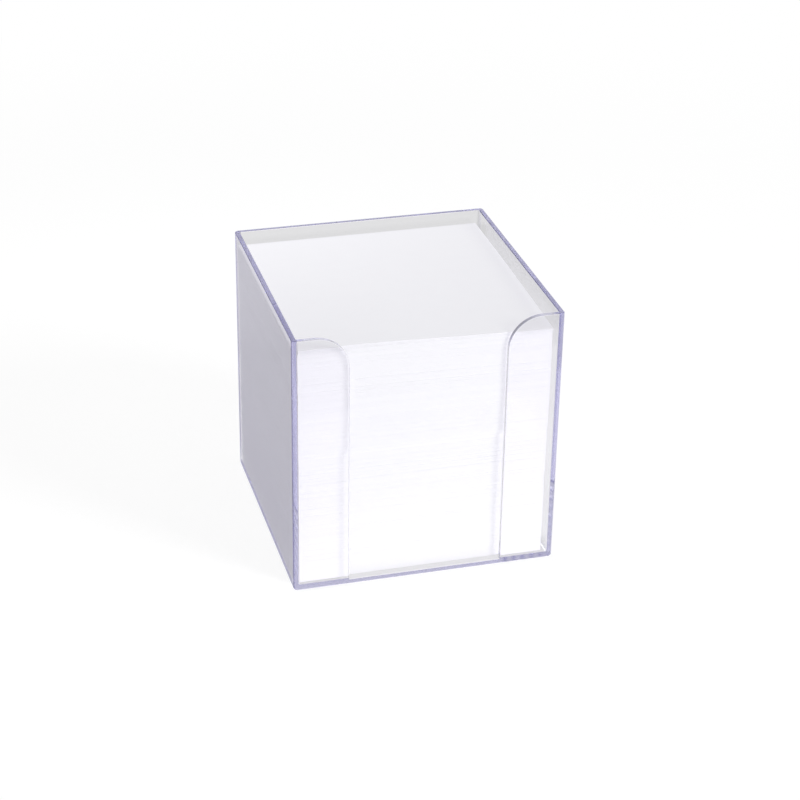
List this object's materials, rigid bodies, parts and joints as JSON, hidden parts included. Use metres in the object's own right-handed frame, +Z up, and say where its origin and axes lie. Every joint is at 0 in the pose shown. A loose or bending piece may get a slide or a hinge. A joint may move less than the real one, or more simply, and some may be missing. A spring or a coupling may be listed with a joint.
{
  "type": "memo pad holder",
  "caption": "Clear open-topped plastic box with a wide finger slot in its front, filled with loose square note sheets.",
  "frame": {"origin": "centre of the underside, on the surface that the box stands on", "axes": "+Z up, the finger slot faces -Y, +X to the right when the slot is seen from in front"},
  "size_m": [0.096, 0.096, 0.098],
  "materials": {
    "clear_plastic": "clear and polished, faintly violet at the edges",
    "white_paper": "smooth uncoated"
  },
  "bodies": {
    "box": {"clear_box": "clear_plastic"},
    "lower_block": {"lower_sheet_block": "white_paper"},
    "upper_block": {"upper_sheet_block": "white_paper"},
    "loose_sheet_01_body": {"loose_sheet_01": "white_paper"},
    "loose_sheet_02_body": {"loose_sheet_02": "white_paper"},
    "loose_sheet_03_body": {"loose_sheet_03": "white_paper"},
    "loose_sheet_04_body": {"loose_sheet_04": "white_paper"},
    "loose_sheet_05_body": {"loose_sheet_05": "white_paper"},
    "loose_sheet_06_body": {"loose_sheet_06": "white_paper"},
    "loose_sheet_07_body": {"loose_sheet_07": "white_paper"},
    "loose_sheet_08_body": {"loose_sheet_08": "white_paper"},
    "loose_sheet_09_body": {"loose_sheet_09": "white_paper"},
    "loose_sheet_10_body": {"loose_sheet_10": "white_paper"},
    "loose_sheet_11_body": {"loose_sheet_11": "white_paper"},
    "loose_sheet_12_body": {"loose_sheet_12": "white_paper"}
  },
  "joints": [
    {"name": "lower_block_lift", "type": "slide", "parent": "box", "child": "lower_block", "axis": [0, 0, 1], "range_m": [0, 0.1]},
    {"name": "upper_block_lift", "type": "slide", "parent": "lower_block", "child": "upper_block", "axis": [0, 0, 1], "range_m": [0, 0.05]},
    {"name": "loose_sheet_01_lift", "type": "slide", "parent": "upper_block", "child": "loose_sheet_01_body", "axis": [0, 0, 1], "range_m": [0, 0.012]},
    {"name": "loose_sheet_02_lift", "type": "slide", "parent": "loose_sheet_01_body", "child": "loose_sheet_02_body", "axis": [0, 0, 1], "range_m": [0, 0.012]},
    {"name": "loose_sheet_03_lift", "type": "slide", "parent": "loose_sheet_02_body", "child": "loose_sheet_03_body", "axis": [0, 0, 1], "range_m": [0, 0.012]},
    {"name": "loose_sheet_04_lift", "type": "slide", "parent": "loose_sheet_03_body", "child": "loose_sheet_04_body", "axis": [0, 0, 1], "range_m": [0, 0.012]},
    {"name": "loose_sheet_05_lift", "type": "slide", "parent": "loose_sheet_04_body", "child": "loose_sheet_05_body", "axis": [0, 0, 1], "range_m": [0, 0.012]},
    {"name": "loose_sheet_06_lift", "type": "slide", "parent": "loose_sheet_05_body", "child": "loose_sheet_06_body", "axis": [0, 0, 1], "range_m": [0, 0.012]},
    {"name": "loose_sheet_07_lift", "type": "slide", "parent": "loose_sheet_06_body", "child": "loose_sheet_07_body", "axis": [0, 0, 1], "range_m": [0, 0.012]},
    {"name": "loose_sheet_08_lift", "type": "slide", "parent": "loose_sheet_07_body", "child": "loose_sheet_08_body", "axis": [0, 0, 1], "range_m": [0, 0.012]},
    {"name": "loose_sheet_09_lift", "type": "slide", "parent": "loose_sheet_08_body", "child": "loose_sheet_09_body", "axis": [0, 0, 1], "range_m": [0, 0.012]},
    {"name": "loose_sheet_10_lift", "type": "slide", "parent": "loose_sheet_09_body", "child": "loose_sheet_10_body", "axis": [0, 0, 1], "range_m": [0, 0.012]},
    {"name": "loose_sheet_11_lift", "type": "slide", "parent": "loose_sheet_10_body", "child": "loose_sheet_11_body", "axis": [0, 0, 1], "range_m": [0, 0.012]},
    {"name": "loose_sheet_12_lift", "type": "slide", "parent": "loose_sheet_11_body", "child": "loose_sheet_12_body", "axis": [0, 0, 1], "range_m": [0, 0.012]}
  ]
}
